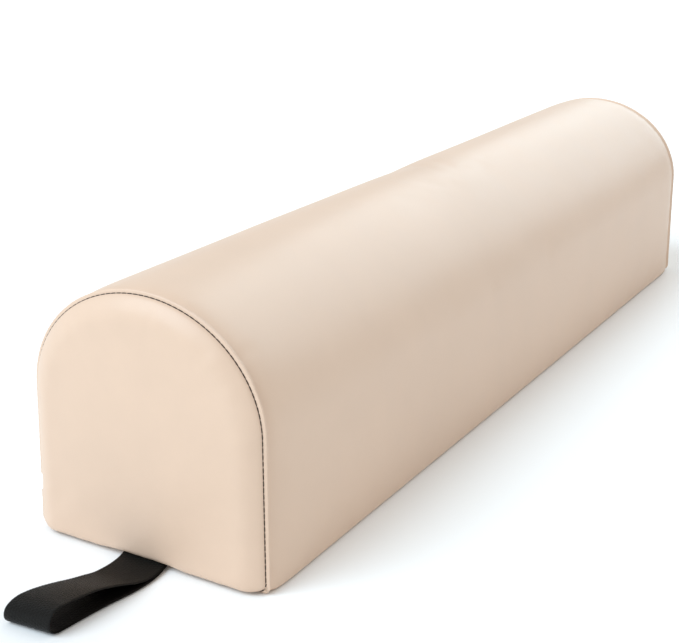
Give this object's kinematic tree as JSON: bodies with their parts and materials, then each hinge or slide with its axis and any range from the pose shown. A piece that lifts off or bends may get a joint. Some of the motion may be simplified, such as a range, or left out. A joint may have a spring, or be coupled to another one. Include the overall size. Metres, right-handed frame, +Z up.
{
  "type": "bolster pillow",
  "caption": "Long tunnel-shaped massage bolster: foam core in a sewn vinyl cover with a flat base, crowned ends, a webbing carry loop at one end and a zip along the back wall",
  "frame": {"origin": "the middle of the flat base, on the surface that the bolster rests on", "axes": "+Z up, X along the bolster with the carry loop at -X, +Y to the back wall that holds the zip"},
  "size_m": [0.741, 0.1541, 0.148],
  "materials": {
    "vinyl": "satin",
    "webbing": "matte",
    "foam": "matte",
    "wadding": "matte",
    "thread": "satin",
    "zip_cloth": "matte",
    "zip_nylon": "satin",
    "zip_metal": "satin"
  },
  "bodies": {
    "cover": {"foam_core": "foam", "wadding_wrap": "wadding", "strap_end_wadding": "wadding", "plain_end_wadding": "wadding", "body_panel": "vinyl", "rear_strip": "vinyl", "base_panel": "vinyl", "strap_end_panel": "vinyl", "plain_end_panel": "vinyl", "strap_end_seam_thread": "thread", "plain_end_seam_thread": "thread", "strap_tail_lower": "webbing", "strap_tail_upper": "webbing", "zip_tape_upper": "zip_cloth", "zip_tape_lower": "zip_cloth", "zip_coil_upper": "zip_nylon", "zip_coil_lower": "zip_nylon", "zip_top_stop_upper": "zip_metal", "zip_top_stop_lower": "zip_metal", "zip_bottom_stop": "zip_metal", "zip_stitch_upper": "thread", "zip_stitch_lower": "thread"},
    "strap_loop": {"carry_strap": "webbing"},
    "slider": {"zip_slider": "zip_metal"},
    "pull": {"zip_pull": "zip_metal"}
  },
  "joints": [
    {"name": "strap_swing", "type": "hinge", "parent": "cover", "child": "strap_loop", "pos_m": [-0.332, 0, 0.00475], "axis": [0, 1, 0], "range_deg": [0, 78]},
    {"name": "zip_travel", "type": "slide", "parent": "cover", "child": "slider", "axis": [1, 0, 0], "range_m": [0, 0.586]},
    {"name": "pull_flip", "type": "hinge", "parent": "slider", "child": "pull", "pos_m": [-0.293, 0.077, 0.026], "axis": [0, 0, 1], "range_deg": [0, 180]}
  ]
}
